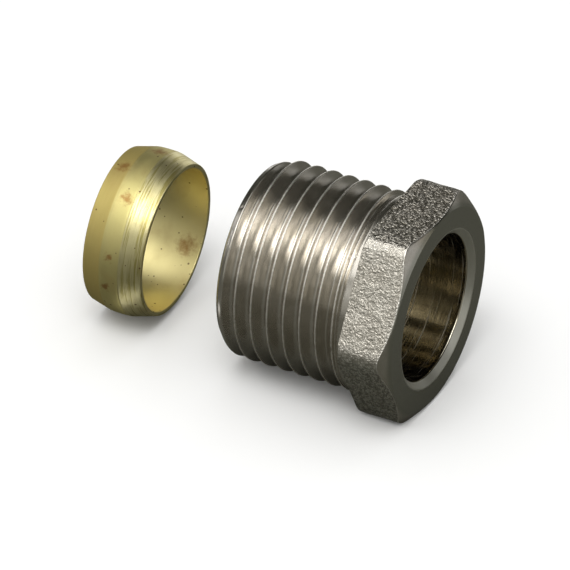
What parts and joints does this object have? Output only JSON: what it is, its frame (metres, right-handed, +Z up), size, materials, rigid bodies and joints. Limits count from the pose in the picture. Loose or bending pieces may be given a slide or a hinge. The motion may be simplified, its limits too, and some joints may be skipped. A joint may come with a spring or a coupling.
{
  "type": "compression nut and olive",
  "caption": "Short male-threaded hexagon compression nut with its brass olive, the ring that it squeezes onto a 15 mm pipe to seal it in a half inch threaded port.",
  "frame": {"origin": "middle of the pair's box, on the table", "axes": "+X along the nut towards its hexagon, +Z up, the olive lies on the -X side"},
  "size_m": [0.0368, 0.0244, 0.0219],
  "materials": {
    "nickel_plate": "nickel-plated brass, satin on turned faces, rough on the forged flats",
    "olive_brass": "bare yellow brass, turned, lightly stained"
  },
  "bodies": {
    "root": {"compression_nut": "nickel_plate", "olive": "olive_brass"}
  },
  "joints": []
}
